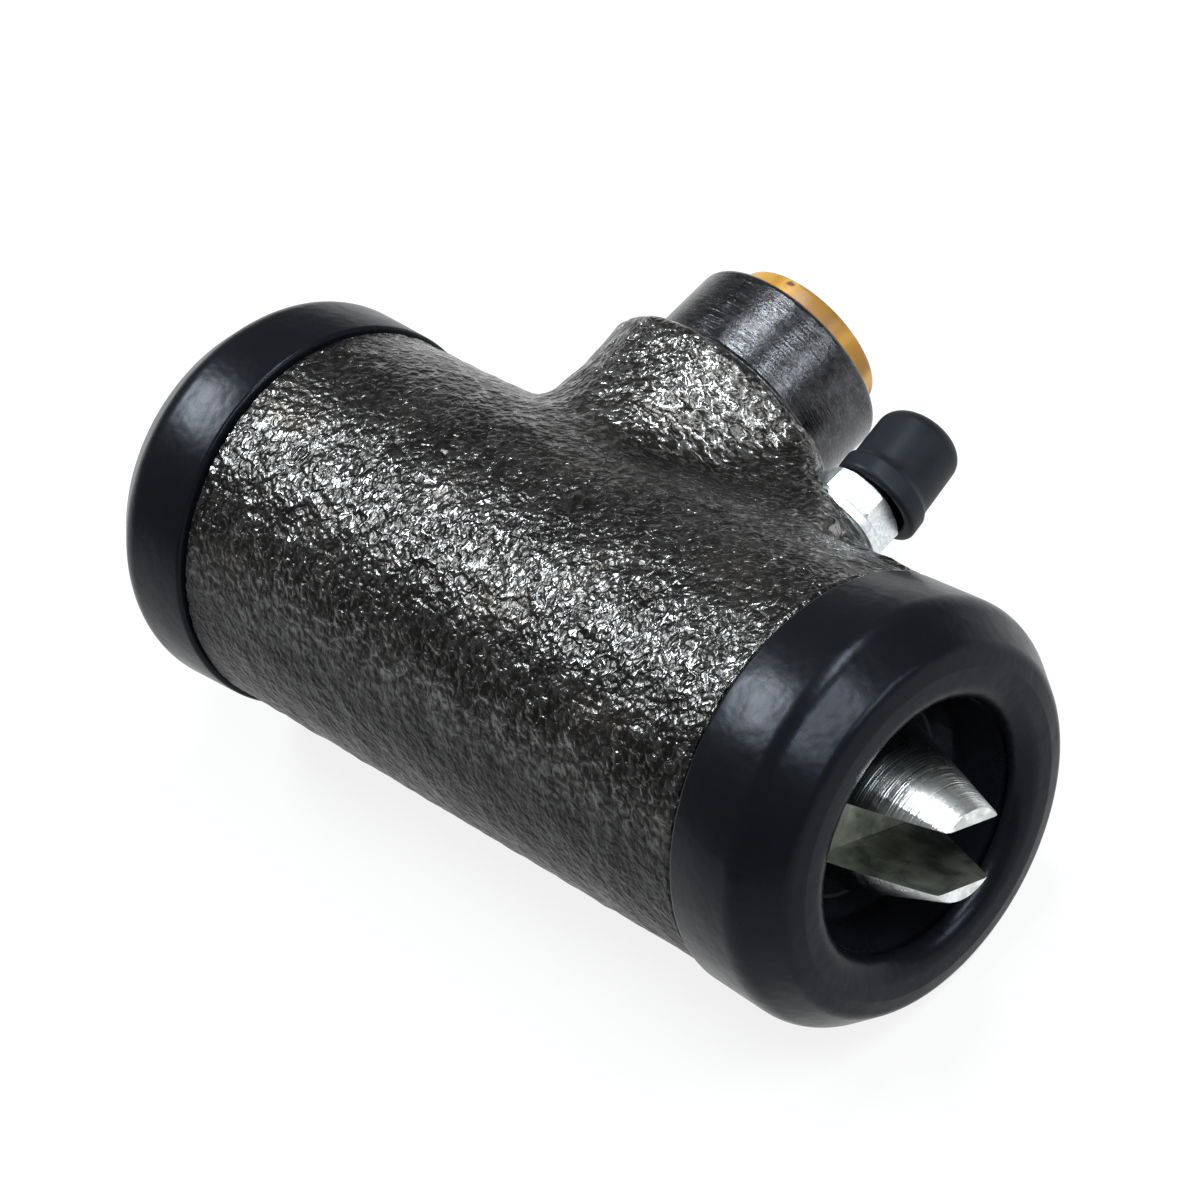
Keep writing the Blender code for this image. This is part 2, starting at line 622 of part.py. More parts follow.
def main():
    for thing in list(bpy.data.objects):
        bpy.data.objects.remove(thing)

    iron = rest_material("cast_iron", (0.085, 0.085, 0.085), 0.55, 0.75)
    zinc = rest_material("zinc_plate", (0.72, 0.74, 0.74), 0.25, 1.0)
    rubber = rest_material("boot_rubber", (0.012, 0.013, 0.018), 0.42, 0.0)
    cup_rubber = rest_material("cup_rubber", (0.02, 0.02, 0.02), 0.5, 0.0)
    cap_rubber = rest_material("cap_rubber", (0.012, 0.013, 0.014), 0.6, 0.0)
    steel = rest_material("spring_steel", (0.45, 0.45, 0.46), 0.35, 1.0)
    amber = rest_material("amber_plastic", (0.75, 0.36, 0.08), 0.35, 0.0)
    screw_zinc = rest_material("screw_zinc", (0.70, 0.74, 0.78), 0.3, 1.0)

    make_body(iron)
    for label, side, turn in (("right", 1, RIGHT_PISTON_TURN), ("left", -1, LEFT_PISTON_TURN)):
        make_piston(label + "_piston", side, turn, zinc)
        make_boot(label + "_boot", side, rubber)
        make_cup(label + "_cup", side, cup_rubber)
        make_expander(label + "_expander", side, steel)
    make_spring(steel)
    make_bleed_screw(screw_zinc)
    make_cap(cap_rubber)
    make_plug(amber)


main()
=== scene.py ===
import bpy, bmesh, math
import numpy as np
from mathutils import Matrix, Quaternion, Vector, noise


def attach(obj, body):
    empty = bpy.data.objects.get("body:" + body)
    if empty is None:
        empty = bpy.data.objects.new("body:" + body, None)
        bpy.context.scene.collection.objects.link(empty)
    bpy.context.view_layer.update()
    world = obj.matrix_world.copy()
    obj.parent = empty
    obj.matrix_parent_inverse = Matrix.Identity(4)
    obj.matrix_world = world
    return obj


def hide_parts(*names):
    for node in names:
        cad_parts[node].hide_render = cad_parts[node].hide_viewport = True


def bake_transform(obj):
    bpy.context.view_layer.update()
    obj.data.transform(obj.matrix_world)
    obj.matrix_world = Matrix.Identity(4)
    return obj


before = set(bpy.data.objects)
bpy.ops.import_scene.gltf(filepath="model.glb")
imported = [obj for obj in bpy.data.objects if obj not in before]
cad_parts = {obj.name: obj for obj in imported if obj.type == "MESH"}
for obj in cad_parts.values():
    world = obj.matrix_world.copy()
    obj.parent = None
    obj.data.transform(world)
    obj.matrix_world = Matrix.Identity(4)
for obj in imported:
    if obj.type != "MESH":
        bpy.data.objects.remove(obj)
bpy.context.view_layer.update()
mm = 0.001

# the cylinder's main places, as the CAD model has them
cylinder = {
    "boreX": 6.05 * mm,          # middle of the bore, from the spigot's axis
    "boreY": -29.0 * mm,         # bore axis, from the machined shoulder
    "halfSpan": 32.35 * mm,      # middle of the bore to a boot's lip
    "boreRadius": 12.7 * mm,
    "tubeRadius": 18.95 * mm,
    "neckRadius": 17.55 * mm,
    "neckLength": 5.0 * mm,
}


# shader helpers
class Wire:                                 # a socket that takes part in plain sums
    def __init__(self, tree, socket):
        self.tree, self.socket = tree, socket

    def maths(self, operation, other=None, swap=False):
        node = self.tree.nodes.new("ShaderNodeMath")
        node.operation = operation
        values = [self, other] if other is not None else [self]
        if swap:
            values.reverse()
        for slot, value in zip(node.inputs, values):
            plug(self.tree, slot, value)
        return Wire(self.tree, node.outputs[0])

    def __add__(self, other): return self.maths("ADD", other)
    def __radd__(self, other): return self.maths("ADD", other, True)
    def __sub__(self, other): return self.maths("SUBTRACT", other)
    def __rsub__(self, other): return self.maths("SUBTRACT", other, True)
    def __mul__(self, other): return self.maths("MULTIPLY", other)
    def __rmul__(self, other): return self.maths("MULTIPLY", other, True)

    def clamp(self):
        node = self.tree.nodes.new("ShaderNodeClamp")
        plug(self.tree, node.inputs[0], self)
        return Wire(self.tree, node.outputs[0])

    def between(self, low, high):           # smooth step from low to high
        node = self.tree.nodes.new("ShaderNodeMapRange")
        node.interpolation_type = "SMOOTHSTEP"
        plug(self.tree, node.inputs["Value"], self)
        plug(self.tree, node.inputs["From Min"], low)
        plug(self.tree, node.inputs["From Max"], high)
        return Wire(self.tree, node.outputs[0])


def plug(tree, slot, value):
    if isinstance(value, Wire):
        tree.links.new(value.socket, slot)
    elif isinstance(value, (tuple, list)) and slot.type == "RGBA":
        slot.default_value = (*value[:3], 1.0)
    else:
        slot.default_value = value


class Finish:                               # one material and its nodes
    def __init__(self, name, **constants):
        self.material = bpy.data.materials.new(name)
        self.material.use_nodes = True
        self.tree = self.material.node_tree
        self.shader = self.tree.nodes["Principled BSDF"]
        for key, value in constants.items():
            plug(self.tree, self.shader.inputs[key.replace("_", " ")], value)

    def node(self, kind, settings=None, output=0, **sockets):
        made = self.tree.nodes.new(kind)
        for key, value in (settings or {}).items():
            if key == "stops":
                ramp = made.color_ramp
                while len(ramp.elements) < len(value):
                    ramp.elements.new(0.5)
                for element, (place, colour) in zip(ramp.elements, value):
                    element.position = place
                    element.color = (*colour, 1.0)
            else:
                setattr(made, key, value)
        for key, value in sockets.items():
            byNumber = key[0] == "i" and key[1:].isdigit()      # i0 is the first socket
            plug(self.tree, made.inputs[int(key[1:]) if byNumber else key.replace("_", " ")], value)
        return Wire(self.tree, made.outputs[output])

    def place(self, stretch=(1, 1, 1)):     # object coordinates in millimetres
        spot = self.node("ShaderNodeTexCoord", output="Object")
        return self.node("ShaderNodeMapping", Vector=spot, Scale=tuple(1000.0 * s for s in stretch))

    def axes(self):                         # x, y and z of the object coordinates, in metres
        made = self.tree.nodes.new("ShaderNodeSeparateXYZ")
        plug(self.tree, made.inputs[0], self.node("ShaderNodeTexCoord", output="Object"))
        return [Wire(self.tree, out) for out in made.outputs]

    def noise(self, where, scale, detail=2.0, rough=0.5, distortion=0.0):
        return self.node("ShaderNodeTexNoise", Vector=where, Scale=scale, Detail=detail,
                         Roughness=rough, Distortion=distortion)

    def cells(self, where, scale):
        return self.node("ShaderNodeTexVoronoi", Vector=where, Scale=scale)

    def blendColour(self, share, first, second):
        return self.node("ShaderNodeMix", {"data_type": "RGBA"}, 2, i0=share, i6=first, i7=second)

    def ramp(self, value, stops):
        return self.node("ShaderNodeValToRGB", {"stops": stops}, Fac=value)

    def bump(self, height, strength, distance, onto=None):
        made = self.tree.nodes.new("ShaderNodeBump")
        plug(self.tree, made.inputs["Height"], height)
        made.inputs["Strength"].default_value = strength
        made.inputs["Distance"].default_value = distance
        if onto is not None:
            plug(self.tree, made.inputs["Normal"], onto)
        return Wire(self.tree, made.outputs[0])

    def set(self, **sockets):
        for key, value in sockets.items():
            plug(self.tree, self.shader.inputs[key.replace("_", " ")], value)
        return self.material


# mesh helpers
def newMesh(name, vertices, faces):
    mesh = bpy.data.meshes.new(name)
    mesh.from_pydata(vertices, [], faces)
    return mesh


def settled(thing):                         # the plain mesh that an object's modifiers give
    bpy.context.view_layer.update()
    return bpy.data.meshes.new_from_object(thing.evaluated_get(bpy.context.evaluated_depsgraph_get()))


def placed(name, data):
    thing = bpy.data.objects.new(name, data)
    bpy.context.scene.collection.objects.link(thing)
    return thing


def dress(name, mesh, materials, body, node, sharp):   # one finished piece; no body where it blends
    work = bmesh.new()
    work.from_mesh(mesh)
    bmesh.ops.remove_doubles(work, verts=work.verts, dist=1e-7)
    bmesh.ops.recalc_face_normals(work, faces=work.faces)
    work.to_mesh(mesh)
    work.free()
    mesh.shade_smooth()
    mesh.set_sharp_from_angle(angle=math.radians(sharp))
    while len(mesh.materials):
        mesh.materials.pop()
    for material in materials if isinstance(materials, list) else [materials]:
        mesh.materials.append(material)
    piece = placed(name, mesh)
    if body:
        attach(piece, body)
    if node:
        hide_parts(node)
    print("made", name, len(mesh.polygons), "faces")
    return piece


def turn(profile, segments, closed=False):   # revolve (axial, radius) points about X
    angles = np.arange(segments) * 2 * np.pi / segments
    rings, vertices, faces = [], [], []
    for axial, radius in profile:
        start = len(vertices)
        if radius < 1e-7:
            vertices.append((axial, 0.0, 0.0))
            rings.append((start, 1))
        else:
            vertices += [(axial, radius * math.cos(a), radius * math.sin(a)) for a in angles]
            rings.append((start, segments))
    pairs = list(zip(rings, rings[1:])) + ([(rings[-1], rings[0])] if closed else [])
    for (first, countA), (second, countB) in pairs:
        for step in range(segments):
            after = (step + 1) % segments
            if countA == 1:
                faces.append((first, second + step, second + after))
            elif countB == 1:
                faces.append((first + step, second, first + after))
            else:
                faces.append((first + step, second + step, second + after, first + after))
    return newMesh("turned", vertices, faces)


def arc(centre, radius, start, end, steps):
    points = []
    for step in range(steps + 1):
        angle = math.radians(start + (end - start) * step / steps)
        points.append((centre[0] + radius * math.cos(angle), centre[1] + radius * math.sin(angle)))
    return points


def softCorners(profile, radius, steps=3, closed=False, crisp=()):   # rounds all but the crisp corners
    points = [Vector(p) for p in profile]
    result = []
    count = len(points)
    for index, point in enumerate(points):
        if (not closed and index in (0, count - 1)) or profile[index] in crisp:
            result.append(tuple(point))
            continue
        before, after = points[index - 1] - point, points[(index + 1) % count] - point
        reach = min(radius, before.length * 0.45, after.length * 0.45)
        bend = before.angle(after, 0) if before.length and after.length else 0
        if reach < 1e-6 or bend > math.radians(172):
            result.append(tuple(point))
            continue
        first, last = point + before.normalized() * reach, point + after.normalized() * reach
        for step in range(steps + 1):
            t = step / steps
            spot = first * (1 - t) ** 2 + point * 2 * t * (1 - t) + last * t ** 2
            result.append(tuple(spot))
    return result


def fillet(points, radii, steps=8):          # a true round of its own radius at each inner point
    result = [points[0]]
    for index in range(1, len(points) - 1):
        before, here, after = (Vector(p) for p in points[index - 1:index + 2])
        a, b = (before - here).normalized(), (after - here).normalized()
        half = a.angle(b) / 2
        reach = radii[index] / math.tan(half)
        centre = here + (a + b).normalized() * (radii[index] / math.sin(half))
        first, last = here + a * reach - centre, here + b * reach - centre
        for step in range(steps + 1):
            t = step / steps
            spoke = first * (1 - t) + last * t
            result.append(tuple(centre + spoke.normalized() * radii[index]))
    return result


def alongBore(side):
    place = Matrix.Translation((cylinder["boreX"], cylinder["boreY"], 0))
    return place if side > 0 else place @ Matrix.Rotation(math.pi, 4, "Z")


def alongSpigot(x=0.0):                      # a piece built along X points along +Y, zero on the bore
    return Matrix.Translation((x, cylinder["boreY"], 0)) @ Matrix.Rotation(math.pi / 2, 4, "Z")


def cutWith(mesh, cutter, operation="DIFFERENCE"):
    target, other = placed("target", mesh), placed("other", cutter)
    step = target.modifiers.new("cut", "BOOLEAN")
    step.operation, step.solver, step.object = operation, "EXACT", other
    made = settled(target)
    for thing in (target, other):
        bpy.data.objects.remove(thing)
    return made


def blockMesh(low, high):
    work = bmesh.new()
    bmesh.ops.create_cube(work, size=1.0)
    size = Vector(high) - Vector(low)
    bmesh.ops.scale(work, vec=size, verts=work.verts)
    bmesh.ops.translate(work, vec=(Vector(high) + Vector(low)) / 2, verts=work.verts)
    mesh = bpy.data.meshes.new("block")
    work.to_mesh(mesh)
    work.free()
    return mesh


def bevelEdges(mesh, width, angle):
    thing = placed("bevelled", mesh)
    step = thing.modifiers.new("bevel", "BEVEL")
    step.width, step.segments, step.limit_method = width, 2, "ANGLE"
    step.angle_limit = math.radians(angle)
    made = settled(thing)
    bpy.data.objects.remove(thing)
    return made


# cast iron: a crinkled, uneven sand-cast skin with bright glints, barer metal with a painted highlight on the
# boss, and painted shade low on the tube
castLook = {
    "dark": (0.032, 0.031, 0.029), "light": (0.140, 0.140, 0.138), "rust": (0.080, 0.062, 0.046),
    "bossShare": 2.0, "bossLow": -23.0 * mm, "bossHigh": -11.0 * mm,     # how much brighter (barer metal and painted highlight), between which Y
    "under": (0.011, 0.011, 0.0105), "underHigh": 13.5 * mm, "underLow": 5.0 * mm,     # painted shade low on the tube, between which Z
    # each pattern's scale per millimetre, and the depth of its bump
    "lumps": 0.30, "lumpHeight": 0.40 * mm, "grain": 1.10, "grainHeight": 0.26 * mm,
    "nodules": 1.5, "noduleHeight": 0.10 * mm, "fine": 3.4, "fineHeight": 0.02 * mm, "patches": 0.11,
    "rough": 0.31, "glossyCrests": 0.08, "roughPatches": 0.20, "roughUnder": 0.08, "lessMetalUnder": 0.8,
}


def castIron():
    look = castLook
    finish = Finish("castIron", Specular_IOR_Level=0.1)
    where = finish.place()
    grain = finish.noise(where, look["grain"], 1.5, 0.5, 0.7)
    nodules = finish.cells(where, look["nodules"])
    fine = finish.noise(where, look["fine"], 1.0, 0.5)
    lumps = finish.noise(where, look["lumps"], 2.0, 0.5)
    patches = finish.noise(where, look["patches"], 3.0, 0.6)
    height = finish.bump(lumps, 1.0, look["lumpHeight"])
    height = finish.bump(grain, 1.0, look["grainHeight"], height)
    height = finish.bump(1.0 - nodules, 1.0, look["noduleHeight"], height)
    height = finish.bump(fine, 1.0, look["fineHeight"], height)
    crest = grain.between(0.44, 0.66)
    colour = finish.ramp((crest * 0.6 + patches * 0.4).clamp(), [(0.15, look["dark"]), (0.85, look["light"])])
    stain = (patches.between(0.50, 0.70) * fine.between(0.40, 0.60) * 0.5).clamp()
    colour = finish.blendColour(stain, colour, look["rust"])
    spot = finish.axes()
    # the boss is painted brighter: partly barer metal, partly a painted highlight where the boss catches the
    # lamps
    boss = spot[1].between(look["bossLow"], look["bossHigh"])
    bareWithPaintedHighlight = finish.ramp(crest, [(0.1, tuple(look["bossShare"] * c for c in look["dark"])),
                               (0.9, tuple(look["bossShare"] * c for c in look["light"]))])
    colour = finish.blendColour(boss, colour, bareWithPaintedHighlight)
    # painted shade: the tube is darker, less metallic and rougher low down, away from the boss
    under = (1.0 - spot[2].between(look["underLow"], look["underHigh"])) * (1.0 - boss)
    colour = finish.blendColour(under * 0.94, colour, look["under"])
    rough = look["rough"] - crest * look["glossyCrests"] + (patches - 0.5) * look["roughPatches"]
    rough = rough + under * look["roughUnder"]
    metallic = 1.0 - under * look["lessMetalUnder"]
    return finish.set(Base_Color=colour, Metallic=metallic, Roughness=rough, Normal=height)


# machined steel: dull, with faint turning lines, mottling and nicks
machinedLook = {"dark": (0.049, 0.049, 0.052), "light": (0.100, 0.101, 0.108), "lines": 2.6}


def machinedSteel():
    look = machinedLook
    finish = Finish("machinedSpigot", Metallic=1.0)
    spot = finish.place()
    rings = finish.noise(finish.place((0.02, 1, 0.02)), look["lines"], 4.0, 0.75)
    mottle = finish.noise(spot, 0.9, 4.0, 0.65, 0.4)
    nicks = finish.noise(finish.place((0.9, 2.2, 0.9)), 2.0, 2.0, 0.6)
    tone = (mottle.between(0.30, 0.70) * 0.6 + nicks.between(0.45, 0.75) * 0.6).clamp()
    colour = finish.ramp(tone, [(0.1, look["dark"]), (0.9, look["light"])])
    height = finish.bump(rings, 0.9, 0.08 * mm)
    height = finish.bump(nicks, 0.6, 0.06 * mm, height)
    height = finish.bump(mottle, 0.3, 0.05 * mm, height)
    return finish.set(Base_Color=colour, Roughness=0.15 + mottle * 0.20, Normal=height)


# rubber: nearly black, the boots' with a little pale dust, the cap's more matt
rubberLook = {
    "colour": (0.0042, 0.0044, 0.0058), "dust": (0.30, 0.30, 0.31),
    "capDark": (0.0058, 0.0066, 0.0082), "capLight": (0.0105, 0.0120, 0.0145),
}


def bootRubber():
    finish = Finish("bootRubber", Metallic=0.0, Specular_IOR_Level=0.12, Specular_Tint=(0.78, 0.85, 1.0))
    spot = finish.place()
    haze = finish.noise(spot, 0.16, 3.0, 0.6)
    smears = finish.noise(spot, 0.7, 3.0, 0.65)
    fine = finish.noise(spot, 4.0, 2.0, 0.5)
    specks = finish.cells(spot, 0.30)
    dust = 1.0 - specks.between(0.025, 0.07)
    chance = finish.noise(spot, 0.5, 1.0).between(0.60, 0.64)
    colour = finish.blendColour((dust * chance * 0.8).clamp(), rubberLook["colour"], rubberLook["dust"])
    height = finish.bump(haze, 0.35, 0.5 * mm)
    height = finish.bump(smears, 0.12, 0.12 * mm, height)
    height = finish.bump(fine, 0.10, 0.02 * mm, height)
    rough = 0.15 + haze * 0.16 + smears * 0.10 + dust * chance * 0.3
    return finish.set(Base_Color=colour, Roughness=rough, Normal=height)


def capRubber():
    finish = Finish("capRubber", Metallic=0.0, Specular_IOR_Level=0.16, Specular_Tint=(0.82, 0.90, 1.0))
    spot = finish.place()
    haze = finish.noise(spot, 0.35, 3.0, 0.6)
    fine = finish.noise(spot, 5.0, 2.0, 0.5)
    colour = finish.ramp(haze, [(0.3, rubberLook["capDark"]), (0.8, rubberLook["capLight"])])
    height = finish.bump(haze, 0.3, 0.2 * mm)
    height = finish.bump(fine, 0.3, 0.03 * mm, height)
    return finish.set(Base_Color=colour, Roughness=0.36 + haze * 0.22, Normal=height)


# zinc: the pistons' plating, with painted shade deep inside the boot that fades out towards the tip
zincLook = {
    "bright": (0.88, 0.90, 0.89), "dull": (0.52, 0.54, 0.53), "bootShade": (0.12, 0.13, 0.13),
    "fullShade": 8.5 * mm, "noShade": 12.5 * mm,     # both from the casting's end
    "milledDark": (0.19, 0.205, 0.18), "milledLight": (0.47, 0.49, 0.44),
    "screwDull": (0.62, 0.66, 0.67), "screwBright": (0.90, 0.94, 0.95),
}


def zincPlate():
    finish = Finish("zincPlate", Metallic=1.0)
    spot = finish.place()
    rings = finish.noise(finish.place((1, 0.015, 0.015)), 7.0, 2.0, 0.6)
    mottle = finish.noise(spot, 0.55, 4.0, 0.62, 0.4)
    spots = finish.noise(spot, 2.2, 3.0, 0.6)
    tone = (mottle.between(0.38, 0.66) * 0.7 + spots * 0.35).clamp()
    colour = finish.ramp(tone, [(0.1, zincLook["dull"]), (0.8, zincLook["bright"])])
    # painted shade: the cone is darker deep in the boot, fading out towards the tip
    along = (finish.axes()[0] - cylinder["boreX"]).maths("ABSOLUTE")
    fromEnd = along - cylinder["halfSpan"] + (mottle - 0.5) * 4.0 * mm
    noShade = fromEnd.between(zincLook["fullShade"], zincLook["noShade"])
    colour = finish.blendColour(noShade, zincLook["bootShade"], colour)
    height = finish.bump(rings, 0.8, 0.08 * mm)
    height = finish.bump(spots, 0.25, 0.05 * mm, height)
    return finish.set(Base_Color=colour, Roughness=0.20 + (1.0 - mottle) * 0.20, Normal=height)


def milledZinc():
    finish = Finish("milledZinc", Metallic=1.0)
    spot = finish.place()
    streaks = finish.noise(finish.place((0.12, 1.0, 1.0)), 1.6, 3.0, 0.6, 0.3)
    mottle = finish.noise(spot, 0.35, 4.0, 0.6, 0.5)
    tone = (streaks * 0.5 + mottle.between(0.35, 0.65) * 0.5).clamp()
    colour = finish.ramp(tone, [(0.2, zincLook["milledDark"]), (0.8, zincLook["milledLight"])])
    height = finish.bump(streaks, 0.4, 0.06 * mm)
    return finish.set(Base_Color=colour, Roughness=0.30 + mottle * 0.18, Normal=height)


def screwZinc():
    finish = Finish("screwZinc", Metallic=1.0)
    spot = finish.place()
    mottle = finish.noise(spot, 1.1, 4.0, 0.65)
    speckle = finish.noise(spot, 3.4, 3.0, 0.6)
    tone = (mottle * 0.6 + speckle.between(0.35, 0.65) * 0.4).clamp()
    colour = finish.ramp(tone, [(0.25, zincLook["screwDull"]), (0.75, zincLook["screwBright"])])
    height = finish.bump(speckle, 0.4, 0.05 * mm)
    return finish.set(Base_Color=colour, Roughness=0.32 + mottle * 0.16, Normal=height)


# amber plastic: cloudy bands, and a dark spot where the moulding gate broke off (its place is in mm)
amberLook = {
    "deep": (0.20, 0.090, 0.008), "middle": (0.34, 0.17, 0.022), "pale": (0.50, 0.29, 0.08),
    "gateAt": (1.15, 10.75, 8.07), "gate": (0.05, 0.018, 0.004),
}


def amberPlastic():
    finish = Finish("amberPlastic", Metallic=0.0, Specular_IOR_Level=0.35, Subsurface_Weight=0.12,
                    Subsurface_Radius=(0.6, 0.30, 0.08), Subsurface_Scale=1.0 * mm)
    spot = finish.place()
    bands = finish.noise(finish.place((1, 0.15, 1)), 0.14, 2.0, 0.5, 0.6)
    colour = finish.ramp(bands.between(0.36, 0.64), [(0.0, amberLook["deep"]), (0.5, amberLook["middle"]),
                                                     (1.0, amberLook["pale"])])
    fine = finish.noise(spot, 2.0, 2.0)
    gate = finish.node("ShaderNodeVectorMath", {"operation": "DISTANCE"}, 1, i0=spot, i1=amberLook["gateAt"])
    mark = (1.0 - (gate + fine * 1.4).between(0.75, 1.35)) * 0.9
    colour = finish.blendColour(mark, colour, amberLook["gate"])
    height = finish.bump(fine, 0.15, 0.05 * mm)
    return finish.set(Base_Color=colour, Roughness=0.34 + fine * 0.1, Normal=height)


def plainFinish(name, colour, metallic, rough):
    finish = Finish(name, Metallic=metallic)
    mottle = finish.noise(finish.place(), 1.5, 3.0, 0.6)
    tone = finish.ramp(mottle, [(0.3, tuple(c * 0.75 for c in colour)), (0.7, colour)])
    height = finish.bump(mottle, 0.2, 0.05 * mm)
    return finish.set(Base_Color=tone, Roughness=rough + mottle * 0.15, Normal=height)


# the casting: each point's distance from its surface, netted into one mesh; heights are from the bore axis
casting = {
    "cell": 0.50 * mm, "blend": 1.5 * mm, "endRound": 0.6 * mm, "top": 28.95 * mm,
    "bossRadius": 13.1 * mm, "bossTop": 28.4 * mm, "bossEdge": 1.9 * mm, "bossBelly": 1.1 * mm,
    "bossSpread": 5.4 * mm, "bossShift": 3.6 * mm, "spreadBelow": 20 * mm, "bossFlare": 0.35 * mm,
    "gussetDrop": 1.5 * mm, "gussetSlope": 33.0, "gussetHalf": 6.0 * mm, "gussetFrom": 4 * mm,
    "gussetTo": 25 * mm, "gussetFloor": 14 * mm, "wallLean": 0.45, "wallShare": 0.91,
    "ribTop": 20.3 * mm, "ribHalf": 4.2 * mm, "ribSlope": 42.0, "ribStart": -16.0 * mm, "ribFloor": 12.5 * mm,
    "bleederX": 19.2 * mm, "bleederRadius": 6.2 * mm, "bleederTop": 21.6 * mm, "bleederFloor": 12 * mm,
    "seatRadius": 5.3 * mm, "threadRadius": 4.0 * mm, "seatHeight": 16.5 * mm, "drill": 1.0 * mm,
    "grooveRadius": 16.55 * mm, "grooveWidth": 2.2 * mm, "feedRadius": 1.5 * mm,
    "portHole": 5.4 * mm, "portFloor": 27.0 * mm,
    # the sand-cast skin, its depths in mm
    "skinDepth": 0.16, "coarseDepth": 0.11, "middleDepth": 0.10, "skinTop": 28.8 * mm,
}


def smoothUnion(first, second, reach):       # both together, with a hollow round where they meet
    share = np.clip(0.5 + 0.5 * (second - first) / reach, 0, 1)
    return second + (first - second) * share - reach * share * (1 - share)


def roundBoth(first, second, reach):         # intersection with a rounded edge
    return -smoothUnion(-first, -second, reach)


def castingDistance(points):                 # x along the bore, h the height from its axis, z up
    shape = casting
    x, h, z = points[:, 0], points[:, 1] - cylinder["boreY"], points[:, 2]
    along = np.abs(x - cylinder["boreX"])
    radial = np.hypot(h, z)
    tube = roundBoth(radial - cylinder["tubeRadius"], along - cylinder["halfSpan"], shape["endRound"])
    # the boss: round at the shoulder, spreading down both flanks of the tube
    depth = np.clip(1 - h / shape["spreadBelow"], 0, 1)
    halfX = shape["bossRadius"] + shape["bossBelly"] * np.sin(np.pi * np.clip(h / (21 * mm), 0, 1))
    halfZ = shape["bossRadius"] + shape["bossSpread"] * depth ** 1.5
    shift = shape["bossShift"] * depth ** 1.4
    flare = shape["bossFlare"] * np.clip((h - 22 * mm) / (5 * mm), 0, 1)
    ring = np.sqrt(((x - shift) / (halfX + flare)) ** 2 + (z / (halfZ + flare)) ** 2)
    boss = (ring - 1) * np.minimum(halfX, halfZ)
    boss = roundBoth(boss, h - shape["bossTop"], shape["bossEdge"])
    boss = np.maximum(boss, -h)
    body = smoothUnion(tube, boss, shape["blend"] * np.clip(h / (9 * mm), 0.02, 1))
    # the rib along the back, its flat top and sloping sides
    slope = math.radians(shape["ribSlope"])
    side = (np.abs(z) - shape["ribHalf"]) * math.cos(slope) + (h - shape["ribTop"]) * math.sin(slope)
    rib = roundBoth(h - shape["ribTop"], side, 1.0 * mm)
    rib = roundBoth(rib, shape["ribStart"] - x + (h - 17 * mm) * 0.8, 1.5 * mm)
    rib = roundBoth(rib, x - (cylinder["boreX"] + cylinder["halfSpan"]), shape["endRound"])
    rib = np.maximum(rib, shape["ribFloor"] - h)
    body = smoothUnion(body, rib, 1.1 * mm)
    # the bleeder's boss
    out = np.hypot(x - shape["bleederX"], z)
    cone = out - shape["bleederRadius"] - np.clip(20 * mm - h, 0, None) * 0.7
    cone = roundBoth(cone * 0.85, h - shape["bleederTop"], 0.7 * mm)
    cone = np.maximum(cone, shape["bleederFloor"] - h)
    body = smoothUnion(body, cone, 2.4 * mm)
    # the gusset from the boss down to the bleeder, and the flat cut for the screw's collar
    slope = math.radians(shape["gussetSlope"])
    gussetTop = -cylinder["boreY"] - shape["gussetDrop"]
    roof = (h - gussetTop + (x - shape["bossRadius"]) * math.tan(slope)) * math.cos(slope)
    wall = (np.abs(z) - shape["gussetHalf"] + (h - 24 * mm) * shape["wallLean"]) * shape["wallShare"]
    gusset = roundBoth(roof, wall, 2.2 * mm)
    gusset = np.maximum(gusset, np.maximum(x - shape["gussetTo"], shape["gussetFrom"] - x))
    gusset = np.maximum(gusset, shape["gussetFloor"] - h)
    body = smoothUnion(body, gusset, 1.4 * mm)
    body = np.maximum(body, -np.maximum(out - shape["seatRadius"], shape["bleederTop"] - h))
    # necks under the boots, each with its groove
    neck = np.maximum(radial - cylinder["neckRadius"], along - cylinder["halfSpan"] - cylinder["neckLength"])
    middle = cylinder["halfSpan"] + cylinder["neckLength"] / 2
    groove = np.maximum(np.abs(along - middle) - shape["grooveWidth"] / 2, shape["grooveRadius"] - radial)
    body = np.minimum(body, np.maximum(neck, -groove))
    # bore, feed hole, port, the cut under the machined end, and the bleed drilling with its threaded hole
    body = np.maximum(body, cylinder["boreRadius"] - radial)
    toSpigot = np.hypot(x, z)
    body = np.maximum(body, -np.maximum(toSpigot - shape["feedRadius"], -h))
    body = np.maximum(body, -np.maximum(toSpigot - shape["portHole"], shape["portFloor"] - h))
    body = np.maximum(body, h - shape["top"])
    seat = h - shape["seatHeight"] + shape["threadRadius"]
    hole = np.minimum(shape["threadRadius"], np.maximum(shape["drill"], seat))
    body = np.maximum(body, -np.maximum((out - hole) * 0.8, -h))
    return body


def steepness(distance, points, value):      # how the distance changes along x, y and z
    step = 0.02 * mm
    return np.stack([distance(points + np.eye(3)[a] * step) - value for a in range(3)], 1) / step


